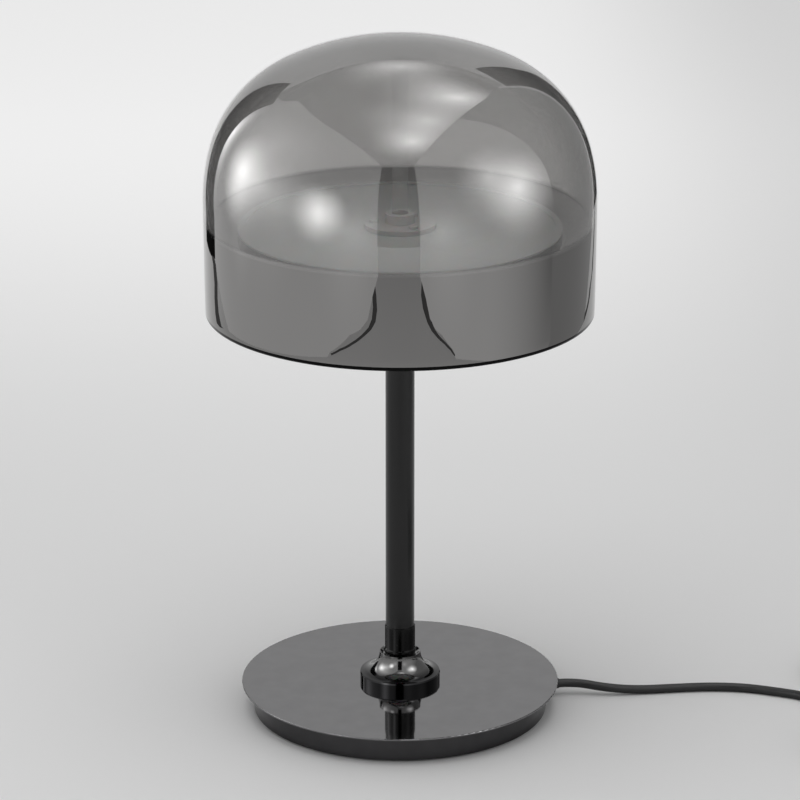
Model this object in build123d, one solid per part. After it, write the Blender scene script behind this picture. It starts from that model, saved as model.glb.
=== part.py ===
from build123d import *
import os
from math import acos, atan2, cos, degrees, hypot, pi, radians, sin, sqrt, tan

# Mushroom table lamp: a smoked-glass shade, closed at the crown and open below, over a lit disc, on a slim
# stem and a flat round base, with its mains lead, in-line switch and plug.
# Millimetres, +Z up. The origin is on the floor, on the lamp's axis. The lead leaves towards +X.

# ---------------------------------------------------------------- fits and fastenings
slip = 0.05              # radial clearance of a turned part in its seat
gap = 0.3                # between loose neighbours
thread_slip = 0.1        # radial clearance of a plain cylinder that stands for a thread

# ---------------------------------------------------------------- glass shade
shade_widest_radius = 120.0
shade_rim_radius = 119.4
shade_rim_drop = 47.0            # from the light disc down to the rim's lowest point
shade_widest_rise = 72.5         # from there up to the widest height
glass_wall = 3.5
upper_wall_radius = 116.5        # the wall's curve above its widest height
upper_wall_sweep = 15.5          # degrees of that curve
shoulder_radius = 80.2
shoulder_sweep = 49.9            # degrees of the shoulder's curve

# ---------------------------------------------------------------- base
base_height = 18.0
foot_height = 1.0
foot_outer_radius = 75.0
foot_inner_radius = 62.0
top_plate_radius = 99.5
top_plate_thickness = 1.2
top_plate_edge_round = 0.36
edge_round_share = 0.4           # most of a sheet's thickness that its edge rounds
drum_radius = 92.0
drum_wall = 1.2
drum_flange_width = 14.0
bottom_plate_thickness = 1.5
bottom_screw_circle_radius = 81.0
bottom_screw_angles = (100, 220, 340)
bottom_screw_radius = 1.5
bottom_screw_head_radius = 3.0
bottom_screw_head_height = 1.2
bottom_screw_length = 8.0
bottom_screw_tip_room = 1.0      # hole beyond the screw's tip
nut_pocket_radius = 14.0
nut_pocket_roof = 3.3            # iron left above the nut pocket
nut_across_flats = 14.0
nut_height = 4.5
washer_radius = 11.0
washer_thickness = 1.8

# ---------------------------------------------------------------- driver and wiring inside the base
driver_length = 72.0
driver_width = 30.0
driver_height = 10.5
driver_wall = 1.5
driver_centre = (-14.0, 52.0)
driver_tape_thickness = 0.6
driver_tape_inset = 4.0          # from the lid's edges
driver_pocket_margin = 2.0
board_thickness = 1.6
lead_channel_width = 7.0
lead_channel_height = 6.0
lead_channel_reach = 18.2        # from the driver's end
low_lead_radius = 1.4
low_lead_height = 4.6            # centre line of the low-voltage lead above the floor
low_lead_entry_height = 6.0      # the same at the driver's end
low_lead_bend = 5.0
# blocks on the driver's board: middle from the driver's middle, length, width and height
board_blocks = ((-1.0, 0.0, 14.0, 16.0, 5.2), (-21.0, -3.5, 10.0, 11.0, 4.2), (19.0, -7.5, 14.0, 5.0, 3.2))
capacitor = (16.0, 4.0, 2.4, 5.2)  # middle, radius and height

# ---------------------------------------------------------------- strain relief and mains lead
lead_radius = 2.75
exit_angle = 9.4                 # degrees from +X towards +Y
exit_height = 7.6
relief_inner_end = 82.0          # distances from the lamp's axis
relief_tip = 102.0
relief_neck_radius = 3.95
relief_flange_radius = 5.0
relief_tip_radius = 3.2
relief_flange_thickness = 1.4
clamp_distance = 69.0
clamp_length = 26.0
clamp_width = 8.0
clamp_screw_offset = 9.0
clamp_screw_radius = 1.5
clamp_screw_head_radius = 2.7
clamp_screw_head_height = 1.2
clamp_screw_bite = 1.5           # how far it goes into the iron
clamp_room = 1.0                 # iron cut away round the clamp
clamp_bend_distance = 50.0       # where the lead turns towards the driver
entry_run = 20.0                 # straight run into the driver
relief_straight = 11.0           # straight lead out of the relief
switch_straight_in = 11.0        # and into the switch, out of it, and into the plug
switch_straight_out = 12.5
plug_straight = 12.0

# ---------------------------------------------------------------- stem, collar and sleeve
stem_radius = 9.0
stem_wall = 1.5
stem_seat_rise = 14.8            # above the base
stem_top_height = 300.0
nipple_radius = 5.0
nipple_bore_radius = 3.7
nipple_below_nut = 0.7
nipple_top_rise = 30.0           # above the base
foot_bush_length = 18.0
head_bush_length = 14.0
collar_radius = 25.15
collar_rim_height = 5.4
collar_height = 18.8
collar_neck_radius = 12.9
collar_lip_width = 0.5
collar_edge_drop = 0.6           # height of the sloped edge above the rim
collar_edge_inset = 0.4
collar_flare_radius = 13.1
collar_dish_depth = 1.4
gasket_inner_radius = 8.0
gasket_outer_radius = 21.0
gasket_thickness = 0.6
sleeve_wall = 0.45
sleeve_length = 19.0
sleeve_bead_proud = 0.7
sleeve_bead_start = 1.0
sleeve_bead_height = 3.2
sleeve_edge = 0.25

# ---------------------------------------------------------------- light disc
disc_radius = 99.1
disc_thickness = 7.8
disc_rim_wall = 1.2
disc_lip_thickness = 1.0
disc_lip_width = 4.0
diffuser_thickness = 1.4
strip_thickness = 0.4
strip_height = 2.6
chip_count = 48
chip_depth = 0.8
chip_width = 2.4
chip_height = 2.0
chip_slip = 0.02
ribbon_width = 4.0
ribbon_thickness = 0.6
ribbon_slot_overrun = 1.0        # how far the hub's slot for it runs out of the spigot

# ---------------------------------------------------------------- hub and crown support
hub_flange_radius = 22.0
hub_flange_thickness = 4.0
hub_boss_radius = 12.0
hub_boss_height = 8.0
hub_spigot_radius = 9.0
hub_seat_depth = 3.5
hub_nipple_length = 18.0
hub_cap_thickness = 3.0
hub_socket_radius = 9.0
hub_socket_height = 6.0
hub_screw_circle_radius = 16.0
hub_screw_angles = (60, 180, 300)
hub_screw_radius = 1.5
hub_screw_head_radius = 2.8
hub_screw_head_height = 1.8
hub_screw_bite = 3.0
post_radius = 5.0
post_seat_depth = 7.0
cup_radius = 23.0
cup_thickness = 3.0
cup_socket_radius = 9.0
cup_socket_height = 10.0
cup_socket_depth = 8.0
pad_radius = 22.0
pad_edge_thickness = 2.0

# ---------------------------------------------------------------- in-line switch, lying along Y
switch_centre = (274.0, -69.0)
switch_length = 52.0
switch_width = 23.0
switch_height = 17.0
switch_wall = 1.8
switch_parting_height = 6.5      # also the lead's centre line there
switch_corner_radius = 8.0
switch_edge_round = 2.5
switch_floor_round = 1.2
switch_nose_length = 6.0
switch_nose_radius = 4.6
switch_nose_tip_radius = 3.6
switch_screw_offset = 18.5
switch_screw_radius = 1.2
switch_screw_head_radius = 2.3
switch_screw_head_height = 1.6
switch_screw_recess = 0.4
switch_screw_roof = 1.5
switch_post_radius = 2.8
rocker_length = 18.0
rocker_width = 11.0
rocker_depth = 6.0
rocker_proud = 1.6               # the rocker's ridge above the shell
rocker_slope = 7.0               # degrees each side of level; it rests fully one way
rocker_pin_radius = 1.5
rocker_pin_overhang = 1.6
rocker_pin_cover = 0.7           # between the pin and the shell's roof
rocker_taper = 1.2
rocker_ridge_round = 2.0
ear_thickness = 1.2
ear_length = 6.0
contact_length = 16.0
contact_width = 4.0
contact_thickness = 0.6
contact_offset = 3.2

# ---------------------------------------------------------------- coil, tie and plug
coil_centre = (306.0, 48.0)
coil_outer_radius = 38.5         # centre line of the lower layer's outermost turn
coil_start_angle = 10.0
coil_halves_per_layer = 5        # half turns in each layer
coil_exit_sweep = 30.0           # degrees of the last arc, past the full half turns
coil_lead_in = 22.0              # straight lead before the coil, and after it
coil_lead_out = 13.0
turn_gap = 0.5                   # between neighbouring turns and layers
tie_angle = 120.0
tie_thickness = 0.6
tie_width = 6.0
tie_slip = 0.45
tie_floor_slip = 0.1
tie_corner_round = 1.2
plug_axis = (309.0, -42.0)       # where the lead enters the plug, which points to -Y
plug_height = 6.85
plug_relief_length = 20.0
plug_relief_radius = 5.0
plug_relief_rings = 4
plug_relief_wall = 0.5           # round the lead at the relief's thin end
plug_relief_groove = 0.6
plug_relief_ring_rise = 0.25
ring_slope_start = 0.35          # shares of a ring's pitch: before its ridge
groove_start = 0.05              # and after it
groove_end = 0.5
last_ring_end = 0.9
plug_body_length = 35.0
plug_face_width = 26.0
plug_face_thickness = 13.7
plug_rear_width = 12.0
plug_rear_thickness = 11.0
plug_waist_width = 22.4
plug_waist_distance = 15.75      # from the body's rear end
plug_corner_round = 3.9
pin_spacing = 19.0
pin_radius = 2.0
pin_core_radius = 1.5
pin_length = 19.0
pin_bare_length = 9.0
pin_rooted_length = 8.0
pin_tip_round = 1.4

os.makedirs("parts", exist_ok=True)


def write(name, shape):
    export_step(shape, f"parts/{name}.step")


def disc(radius, low, high, x=0.0, y=0.0):
    """An upright cylinder between two heights."""
    return Pos(x, y, (low + high) / 2) * Cylinder(radius, high - low)


def ring(outer, inner, low, high):
    return disc(outer, low, high) - disc(inner, low, high)


def slab(x_range, y_range, z_range):
    """A box between its low and high corners."""
    sides = [high - low for low, high in (x_range, y_range, z_range)]
    middle = [(high + low) / 2 for low, high in (x_range, y_range, z_range)]
    return Pos(*middle) * Box(*sides)


def rod(radius, start, end):
    """A cylinder along X between two distances from the origin."""
    return Pos((start + end) / 2, 0, 0) * Rot(0, 90, 0) * Cylinder(radius, end - start)


def turned(outline):
    """A closed outline of (radius, height) points turned about the lamp's axis."""
    return revolve(make_face(Polyline(*[(r, 0, z) for r, z in outline], close=True)), Axis.Z)


def polar(radius, angle):
    return radius * cos(radians(angle)), radius * sin(radians(angle))


def around(shape, angles):
    return [Rot(0, 0, angle) * shape for angle in angles]


# ================================================================ base: foot, plates, drum and weight
plate_under = base_height - top_plate_thickness
drum_inner_radius = drum_radius - drum_wall
flange_under = plate_under - drum_wall
flange_inner_radius = drum_radius - drum_flange_width
bottom_plate_radius = drum_inner_radius - gap
weight_under = foot_height + bottom_plate_thickness
nut_pocket_top = plate_under - nut_pocket_roof
nut_top = nut_pocket_top - washer_thickness
nut_under = nut_top - nut_height
nipple_under = nut_under - nipple_below_nut
driver_top = flange_under - driver_tape_thickness - driver_pocket_margin / 2
driver_under = driver_top - driver_height
lead_pocket_top = flange_under - driver_pocket_margin

foot_ring = ring(foot_outer_radius, foot_inner_radius, 0, foot_height)
write("foot_ring", foot_ring)

bottom_plate = disc(bottom_plate_radius, foot_height, weight_under)
bottom_screw = disc(bottom_screw_radius, foot_height, foot_height + bottom_screw_length)
head_spot = Pos(0, 0, foot_height + bottom_screw_head_height / 2)
bottom_screw += head_spot * Cone(bottom_screw_head_radius, bottom_screw_radius, bottom_screw_head_height)
bottom_screw_hole = disc(bottom_screw_radius + slip, 0, base_height)
bottom_screw_hole += head_spot * Cone(bottom_screw_head_radius + slip, bottom_screw_radius + slip,
                                      bottom_screw_head_height)
bottom_screw_places = [Pos(*polar(bottom_screw_circle_radius, angle)) for angle in bottom_screw_angles]
for place in bottom_screw_places:
    bottom_plate -= place * bottom_screw_hole
write("base_bottom_plate", bottom_plate)
write("bottom_plate_screws", Compound([place * bottom_screw for place in bottom_screw_places]))

top_plate = ring(top_plate_radius, nipple_radius + thread_slip, plate_under, base_height)
top_plate = fillet(top_plate.edges().filter_by(GeomType.CIRCLE).sort_by(SortBy.RADIUS)[-2:],
                   min(top_plate_edge_round, top_plate_thickness * edge_round_share))
write("base_top_plate", top_plate)

relief_spot = Rot(0, 0, exit_angle) * Pos(0, 0, exit_height)
drum = turned([(drum_radius, foot_height), (drum_radius, plate_under), (flange_inner_radius, plate_under),
               (flange_inner_radius, flange_under), (drum_inner_radius, flange_under),
               (drum_inner_radius, foot_height)])
drum -= relief_spot * rod(relief_neck_radius + slip, flange_inner_radius, drum_radius + drum_wall)
write("base_drum", drum)

# The iron weight fills the drum; its raised middle reaches the top plate inside the drum's flange.
weight = disc(bottom_plate_radius, weight_under, flange_under)
weight += disc(flange_inner_radius - gap, weight_under, plate_under)
weight -= disc(nipple_radius + thread_slip, 0, base_height)
weight -= disc(nut_pocket_radius, weight_under, nut_pocket_top)

driver_x = (driver_centre[0] - driver_length / 2, driver_centre[0] + driver_length / 2)
driver_y = (driver_centre[1] - driver_width / 2, driver_centre[1] + driver_width / 2)
tape_top = driver_top + driver_tape_thickness
weight -= slab((driver_x[0] - driver_pocket_margin, driver_x[1] + driver_pocket_margin),
               (driver_y[0] - driver_pocket_margin, driver_y[1] + driver_pocket_margin),
               (weight_under, tape_top))
wiring_reach = clamp_distance - 2 * clamp_width + lead_radius + clamp_room
weight -= slab((driver_x[1], wiring_reach), (0, driver_y[1] - driver_wall), (weight_under, lead_pocket_top))
clamp_pocket = slab((wiring_reach - clamp_width, clamp_distance + clamp_width / 2 + clamp_room),
                    (-clamp_length / 2 - clamp_room, clamp_length / 2 + clamp_room),
                    (weight_under, lead_pocket_top))
relief_pocket = slab((clamp_distance, drum_radius),
                     (-relief_flange_radius - clamp_room, relief_flange_radius + clamp_room),
                     (weight_under, lead_pocket_top))
weight -= Rot(0, 0, exit_angle) * (clamp_pocket + relief_pocket)
lead_channel_top = weight_under + lead_channel_height
channel_x = driver_x[0] - lead_channel_reach
weight -= slab((channel_x, driver_x[0]), (-lead_channel_width / 2, driver_centre[1] + lead_channel_width),
               (weight_under, lead_channel_top))
weight -= slab((channel_x, 0), (-lead_channel_width / 2, 2 * lead_channel_width),
               (weight_under, lead_channel_top))
for place in bottom_screw_places:
    weight -= place * disc(bottom_screw_radius + slip, weight_under,
                           foot_height + bottom_screw_length + bottom_screw_tip_room)

# ================================================================ driver in its pocket
case = slab(driver_x, driver_y, (driver_under, driver_top - driver_wall))
inner_x = (driver_x[0] + driver_wall, driver_x[1] - driver_wall)
inner_y = (driver_y[0] + driver_wall, driver_y[1] - driver_wall)
case -= slab(inner_x, inner_y, (driver_under + driver_wall, driver_top))
write("driver_case", case)
write("driver_lid", slab(driver_x, driver_y, (driver_top - driver_wall, driver_top)))
board_under = driver_under + driver_wall
board = slab((inner_x[0] + gap, inner_x[1] - gap), (inner_y[0] + gap, inner_y[1] - gap),
             (board_under, board_under + board_thickness))
parts_under = board_under + board_thickness
for block_x, block_y, length, width, height in board_blocks:
    board += Pos(driver_centre[0] + block_x, driver_centre[1] + block_y, parts_under + height / 2) * Box(
        length, width, height)
board += disc(capacitor[2], parts_under, parts_under + capacitor[3],
              driver_centre[0] + capacitor[0], driver_centre[1] + capacitor[1])
write("driver_board", board)
tape_x, tape_y = [(low + driver_tape_inset, high - driver_tape_inset) for low, high in (driver_x, driver_y)]
write("driver_tape", slab(tape_x, tape_y, (driver_top, tape_top)))

# ================================================================ lead clamp and strain relief
clamp_turn = Rot(0, 0, exit_angle)
clamp_low = weight_under + clamp_screw_bite
clamp_block = slab((clamp_distance - clamp_width / 2, clamp_distance + clamp_width / 2),
                   (-clamp_length / 2, clamp_length / 2), (clamp_low, lead_pocket_top))
clamp_block -= Pos(0, 0, exit_height) * rod(lead_radius + slip, 0, drum_radius)
clamp_screw_places = [Pos(clamp_distance, side * clamp_screw_offset, 0) for side in (-1, 1)]
clamp_head_top = clamp_low + clamp_screw_head_height
clamp_screw = disc(clamp_screw_radius, clamp_low, lead_pocket_top + clamp_screw_bite)
clamp_screw += disc(clamp_screw_head_radius, clamp_low, clamp_head_top)
for place in clamp_screw_places:
    clamp_block -= place * disc(clamp_screw_radius + slip, clamp_low, lead_pocket_top)
    clamp_block -= place * disc(clamp_screw_head_radius + slip, clamp_low, clamp_head_top)
    weight -= clamp_turn * place * disc(clamp_screw_radius + slip, weight_under,
                                        lead_pocket_top + clamp_screw_bite)
write("lead_clamp", clamp_turn * clamp_block)
write("lead_clamp_screws", Compound([clamp_turn * place * clamp_screw for place in clamp_screw_places]))
write("base_weight", weight)

inside_face = sqrt(drum_inner_radius ** 2 - relief_flange_radius ** 2)
inner_flange_end = inside_face - slip
outer_flange_start = drum_radius + slip
outer_flange_end = outer_flange_start + relief_flange_thickness
relief_outline = [
    (0, relief_inner_end), (relief_tip_radius, relief_inner_end),
    (relief_neck_radius, inner_flange_end - relief_flange_thickness),
    (relief_flange_radius, inner_flange_end - relief_flange_thickness),
    (relief_flange_radius, inner_flange_end), (relief_neck_radius, inner_flange_end),
    (relief_neck_radius, outer_flange_start), (relief_flange_radius, outer_flange_start),
    (relief_flange_radius, outer_flange_end), (relief_neck_radius, outer_flange_end),
    (relief_tip_radius, relief_tip), (0, relief_tip)]
relief = relief_spot * Rot(0, 90, 0) * turned(relief_outline)
write("strain_relief", relief)


# ================================================================ leads: straight runs with tangent arcs
def laid_route(points, arc_share=0.45):
    """Runs through the points, with a tangent arc at each corner as large as its two runs allow."""
    corners = [Vector(*point) for point in points]
    radii = []
    for before, corner, after in zip(corners, corners[1:], corners[2:]):
        turn = radians((corner - before).get_angle(after - corner))
        shorter_run = min((corner - before).length, (after - corner).length)
        radii.append(arc_share * shorter_run / tan(turn / 2))
    return FilletPolyline(*corners, radius=radii), radii


def lead_along(name, path, radius, radii=()):
    """A round lead swept along its path; prints its length and its tightest arc."""
    section = Plane(origin=path @ 0, z_dir=path % 0) * Circle(radius)
    lead = sweep(section, path=path)
    share = lead.volume / (pi * radius ** 2 * path.length)
    tightest = f", arcs {min(radii):.1f} to {max(radii):.1f} mm" if radii else ""
    print(f"{name}: {path.length:.1f} mm long{tightest}, volume over section x length {share:.4f}")
    write(name, lead)
    return path


# The mains lead inside the base, from the relief through the clamp to the driver.
relief_in = polar(relief_inner_end, exit_angle)
bend_in = polar(clamp_bend_distance, exit_angle)
inner_lead_points = [(*relief_in, exit_height), (*bend_in, exit_height),
                     (driver_x[1] + entry_run, driver_centre[1], exit_height),
                     (driver_x[1], driver_centre[1], exit_height)]
inner_path, inner_radii = laid_route(inner_lead_points)
lead_along("inner_mains_lead", inner_path, lead_radius, inner_radii)

# The free lead on the floor, from the relief to the in-line switch.
relief_out = polar(relief_tip, exit_angle)
switch_start = switch_centre[1] + switch_length / 2 + switch_nose_length
switch_end = switch_centre[1] - switch_length / 2 - switch_nose_length
relief_ahead = polar(relief_tip + relief_straight, exit_angle)
lead_run_points = [
    (*relief_out, exit_height), (*relief_ahead, exit_height), (130, 15.6, 5.0), (150, 16.9, 2.9),
    (174, 20.4, 2.75), (197, 22.9, 2.75), (219, 21.2, 2.75), (239, 14.4, 2.75), (256, 7.2, 2.75),
    (266, -3, 3.0), (272.2, -14.5, 4.9),
    (switch_centre[0], switch_start + switch_straight_in, switch_parting_height),
    (switch_centre[0], switch_start, switch_parting_height)]
run_path, run_radii = laid_route(lead_run_points)
lead_along("lead_run", run_path, lead_radius, run_radii)

# ================================================================ coil: turns in, a climb, turns out
turn_pitch = 2 * lead_radius + turn_gap
layer_low = tie_thickness + tie_floor_slip + lead_radius
layer_high = layer_low + turn_pitch
coil_middle = Vector(*coil_centre, 0)


def coil_direction(angle):
    return Vector(cos(radians(angle)), sin(radians(angle)), 0)


def planar_arc(start, angle, sweep_angle, radius):
    """An arc at a constant height that starts at an angle of its own centre."""
    centre = start - coil_direction(angle) * radius
    middle = centre + coil_direction(angle + sweep_angle / 2) * radius
    end = centre + coil_direction(angle + sweep_angle) * radius
    return ThreePointArc(start, middle, end), end


def climbing_half_turn(start, angle, radius, rise):
    """Two quarter arcs that turn half round and climb one layer."""
    end = start - coil_direction(angle) * (2 * radius) + Vector(0, 0, rise)
    forward = coil_direction(angle + 90)
    reach = (end - start).length / 2
    middle = (start + end) * 0.5 + forward * reach
    tangent = (end - start).normalized()
    return [TangentArc(start, middle, tangent=forward), TangentArc(middle, end, tangent=tangent)], end


coil_edges = []
angle = coil_start_angle
here = coil_middle + coil_direction(angle) * coil_outer_radius + Vector(0, 0, layer_low)
coil_start = here
coil_start_direction = coil_direction(angle + 90)
coil_edges.append(Line(here - coil_start_direction * 2 * lead_radius, here))
radius = coil_outer_radius
for half in range(coil_halves_per_layer):
    edge, here = planar_arc(here, angle, 180, radius)
    coil_edges.append(edge)
    angle += 180
    radius -= turn_pitch / 2
edges, here = climbing_half_turn(here, angle, radius, turn_pitch)
coil_edges += edges
angle += 180
# The first half turn of the upper layer opens slowly, and the next ones clear the climb by a full pitch.
climb_radius = radius
radius += turn_pitch / 4
innermost_radius = radius
for half in range(coil_halves_per_layer):
    edge, here = planar_arc(here, angle, 180, radius)
    coil_edges.append(edge)
    angle += 180
    radius = climb_radius + turn_pitch * (half + 2) / 2
edge, here = planar_arc(here, angle, coil_exit_sweep, radius)
coil_edges.append(edge)
angle += coil_exit_sweep
coil_end_direction = coil_direction(angle + 90)
coil_edges.append(Line(here, here + coil_end_direction * 2 * lead_radius))
coil_path = Wire(coil_edges)
lead_along("lead_coil", coil_path, lead_radius)


def least_gap(path, diameter, steps=900, skip=60):
    """The least gap between stretches of a lead that are not near neighbours along it."""
    points = [path @ (step / steps) for step in range(steps + 1)]
    spacing = path.length / steps
    apart = int(skip / spacing) + 1
    nearest = min((points[i] - points[j]).length
                  for i in range(len(points)) for j in range(i + apart, len(points)))
    return nearest - diameter


print(f"lead_coil: least gap to itself {least_gap(coil_path, 2 * lead_radius):.2f} mm")
coil_in = coil_start - coil_start_direction * 2 * lead_radius
coil_out = here + coil_end_direction * 2 * lead_radius

# The free lead from the switch round to the coil.
coil_ahead = coil_in - coil_start_direction * coil_lead_in
link_points = [
    (switch_centre[0], switch_end, switch_parting_height),
    (switch_centre[0], switch_end - switch_straight_out, switch_parting_height),
    (277.0, -127.0, 4.4), (285.5, -138.5, 2.75), (298.5, -145.5, 2.75), (313.5, -145.5, 2.75),
    (327.0, -138.5, 2.75), (336.5, -126.0, 2.75),
    (341.5, -107.0, 2.75), (346.0, -84.0, 2.75), (349.2, -58.0, 2.75), (351.4, -31.0, 2.75),
    (351.8, -5.0, 2.75), tuple(coil_ahead), tuple(coil_in)]
link_path, link_radii = laid_route(link_points)
lead_along("lead_link", link_path, lead_radius, link_radii)

# The end of the lead, from the coil's top layer down to the plug.
coil_after = coil_out + coil_end_direction * coil_lead_out
tail_points = [tuple(coil_out), tuple(coil_after), (297.6, -5.0, 8.8), (305.4, -17.5, 7.5),
               (plug_axis[0], plug_axis[1] + plug_straight, plug_height), (*plug_axis, plug_height)]
tail_path, tail_radii = laid_route(tail_points)
lead_along("lead_tail", tail_path, lead_radius, tail_radii)

# The tie goes once round the bundle of turns.
bundle_inner = innermost_radius - lead_radius
bundle_outer = coil_outer_radius + turn_pitch / 4 + lead_radius
tie_inner = slab((bundle_inner - tie_slip, bundle_outer + tie_slip), (-tie_width, tie_width),
                 (tie_thickness, layer_high + lead_radius + gap))
tie_block = slab((bundle_inner - tie_slip - tie_thickness, bundle_outer + tie_slip + tie_thickness),
                 (-tie_width / 2, tie_width / 2), (0, layer_high + lead_radius + gap + tie_thickness))
tie_block = fillet(tie_block.edges().filter_by(Axis.Y), tie_corner_round)
tie = Pos(*coil_centre, 0) * Rot(0, 0, tie_angle) * (tie_block - tie_inner)
write("coil_tie", tie)

# ================================================================ stem, collar and sleeve
stem_seat_height = base_height + stem_seat_rise
nipple_top_height = base_height + nipple_top_rise
collar_top = base_height + collar_height
collar_floor = collar_top - collar_dish_depth
rim_top = base_height + collar_rim_height
flare_centre_radius = collar_neck_radius + collar_flare_radius
flare_end_radius = collar_radius - collar_edge_inset
flare_end_height = collar_top - sqrt(collar_flare_radius ** 2 - (flare_centre_radius - flare_end_radius) ** 2)
flare_end_angle = atan2(flare_end_height - collar_top, flare_end_radius - flare_centre_radius) + 2 * pi
flare_middle_angle = (pi + flare_end_angle) / 2
flare_middle = (flare_centre_radius + collar_flare_radius * cos(flare_middle_angle),
                collar_top + collar_flare_radius * sin(flare_middle_angle))
bead_radius = stem_radius + slip + sleeve_wall + sleeve_bead_proud
seat_radius = bead_radius + gap
collar_bore = nipple_radius + thread_slip


def section_line(*points):
    return Polyline(*[(r, 0, z) for r, z in points])


collar_edges = section_line(
    (flare_end_radius, flare_end_height), (collar_radius, rim_top - collar_edge_drop),
    (collar_radius, base_height), (gasket_outer_radius + gap, base_height),
    (gasket_outer_radius + gap, base_height + gasket_thickness),
    (collar_bore, base_height + gasket_thickness), (collar_bore, stem_seat_height),
    (stem_radius + slip, stem_seat_height), (stem_radius + slip, collar_floor), (seat_radius, collar_floor),
    (collar_neck_radius - collar_lip_width, collar_top), (collar_neck_radius, collar_top)).edges()
collar_edges += [ThreePointArc((collar_neck_radius, 0, collar_top), (flare_middle[0], 0, flare_middle[1]),
                               (flare_end_radius, 0, flare_end_height))]
collar = revolve(make_face(collar_edges), Axis.Z)
write("stem_collar", collar)
write("collar_gasket", ring(gasket_outer_radius, gasket_inner_radius, base_height,
                            base_height + gasket_thickness))

sleeve_inner = stem_radius + slip
sleeve_outer = sleeve_inner + sleeve_wall
sleeve_top = collar_floor + sleeve_length
bead_low = collar_floor + sleeve_bead_start
bead_high = bead_low + sleeve_bead_height
sleeve = turned([
    (sleeve_inner, collar_floor), (sleeve_outer, collar_floor), (sleeve_outer, bead_low),
    (bead_radius, bead_low + sleeve_bead_proud), (bead_radius, bead_high - sleeve_bead_proud),
    (sleeve_outer, bead_high), (sleeve_outer, sleeve_top - sleeve_edge),
    (sleeve_outer - sleeve_edge, sleeve_top), (sleeve_inner, sleeve_top)])
write("stem_sleeve", sleeve)

stem_bore = stem_radius - stem_wall
write("stem_tube", ring(stem_radius, stem_bore, stem_seat_height, stem_top_height))
bush_outer = stem_bore - slip
write("foot_bush", ring(bush_outer, nipple_radius + slip, stem_seat_height,
                        stem_seat_height + foot_bush_length))
write("head_bush", ring(bush_outer, nipple_radius + slip, stem_top_height - head_bush_length,
                        stem_top_height))
write("base_nipple", ring(nipple_radius, nipple_bore_radius, nipple_under, nipple_top_height))
write("nipple_washer", ring(washer_radius, nipple_radius + thread_slip, nut_top, nut_pocket_top))
nut = extrude(Pos(0, 0, nut_under) * RegularPolygon(nut_across_flats / 2, 6, major_radius=False), nut_height)
write("nipple_nut", nut - disc(nipple_radius + slip, 0, base_height))

# ================================================================ light disc, which lies on the hub
boss_low = stem_top_height - hub_seat_depth
flange_low = boss_low + hub_boss_height
lower_diffuser_under = flange_low + hub_flange_thickness
disc_bottom_height = lower_diffuser_under - disc_lip_thickness
disc_top = disc_bottom_height + disc_thickness
channel_radius = disc_radius - disc_rim_wall
lip_radius = disc_radius - disc_lip_width
guide_under = lower_diffuser_under + diffuser_thickness
upper_diffuser_top = disc_top - disc_lip_thickness
guide_top = upper_diffuser_top - diffuser_thickness
write("disc_rim", turned([
    (disc_radius, disc_bottom_height), (disc_radius, upper_diffuser_top),
    (channel_radius, upper_diffuser_top), (channel_radius, lower_diffuser_under),
    (lip_radius, lower_diffuser_under), (lip_radius, disc_bottom_height)]))
write("disc_bezel", ring(disc_radius, lip_radius, upper_diffuser_top, disc_top))

hub_bore = nipple_radius + slip
spigot_clear = hub_spigot_radius + gap
hub_screw_places = [Pos(*polar(hub_screw_circle_radius, angle)) for angle in hub_screw_angles]
hub_screw_clear = disc(hub_screw_radius + thread_slip, lower_diffuser_under, disc_top)


def hub_bored(plate):
    """A disc layer with its centre hole and the holes of the hub screws."""
    for place in hub_screw_places:
        plate -= place * hub_screw_clear
    return plate


diffuser_radius = channel_radius - gap
write("lower_diffuser", hub_bored(ring(diffuser_radius, spigot_clear, lower_diffuser_under, guide_under)))
write("upper_diffuser", hub_bored(ring(diffuser_radius, spigot_clear, guide_top, upper_diffuser_top)))
strip_outer = channel_radius - slip
strip_inner = strip_outer - strip_thickness
chip_inner = strip_inner - chip_depth
guide_radius = chip_inner - gap
ribbon_top = guide_under + ribbon_thickness
guide = hub_bored(ring(guide_radius, spigot_clear, guide_under, guide_top))
guide -= slab((0, disc_radius), (-ribbon_width / 2 - gap, ribbon_width / 2 + gap),
              (guide_under, ribbon_top + gap))
write("light_guide", guide)
strip_middle = (guide_under + guide_top) / 2
strip_under = guide_under + slip
write("led_strip", ring(strip_outer, strip_inner, strip_under, strip_under + strip_height))
chip = slab((chip_inner, strip_inner - chip_slip), (-chip_width / 2, chip_width / 2),
            (strip_middle - chip_height / 2, strip_middle + chip_height / 2))
chip_turn = 360 / chip_count
write("led_chips", Compound(around(chip, [chip_turn * (k + 0.5) for k in range(chip_count)])))
ribbon = slab((-ribbon_width / 2, chip_inner), (-ribbon_width / 2, ribbon_width / 2),
              (guide_under, ribbon_top))
write("ribbon_lead", ribbon)

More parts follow.
